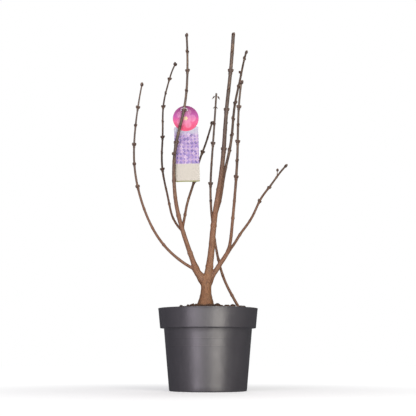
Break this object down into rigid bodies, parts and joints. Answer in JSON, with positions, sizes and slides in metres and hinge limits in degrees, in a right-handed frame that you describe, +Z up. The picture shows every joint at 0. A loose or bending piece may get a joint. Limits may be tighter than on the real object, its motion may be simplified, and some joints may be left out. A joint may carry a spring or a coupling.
{
  "type": "potted lilac shrub",
  "caption": "Young bare lilac shrub: a short forked trunk and upright budded whips in a filled round nursery pot, with a hanging card label.",
  "frame": {"origin": "middle of the pot's flat underside, on the surface it stands on", "axes": "+Z up, +X to the right and -Y towards the front, the side the label faces"},
  "size_m": [0.4598, 0.4012, 1.0654],
  "materials": {
    "pot_plastic": "satin moulded polypropylene, charcoal grey",
    "peat": "moist crumbly peat compost",
    "trunk_bark": "thin brown bark, finely fissured",
    "bough_bark": "smooth warm brown bark with small pores",
    "twig_bark": "smooth grey-brown young bark with dark buds",
    "label_card": "printed plastic card, satin",
    "label_tie": "thin translucent plastic tie"
  },
  "bodies": {
    "root": {"pot": "pot_plastic", "soil": "peat", "trunk": "trunk_bark", "bough_centre": "bough_bark", "bough_centre_back": "bough_bark", "bough_left": "bough_bark", "bough_left_tall": "bough_bark", "bough_left_outer": "bough_bark", "bough_left_back": "bough_bark", "bough_left_inner": "bough_bark", "bough_right": "bough_bark", "bough_right_tall": "bough_bark", "bough_right_outer": "bough_bark", "bough_low_shoot": "bough_bark", "twigs_centre": "twig_bark", "twigs_centre_back": "twig_bark", "twigs_left_tall": "twig_bark", "twigs_left_outer": "twig_bark", "twigs_left_back": "twig_bark", "twigs_left_inner": "twig_bark", "twigs_right_tall": "twig_bark", "twigs_right_outer": "twig_bark", "twigs_low_shoot": "twig_bark", "label": "label_card", "label_loop": "label_tie"}
  },
  "joints": []
}
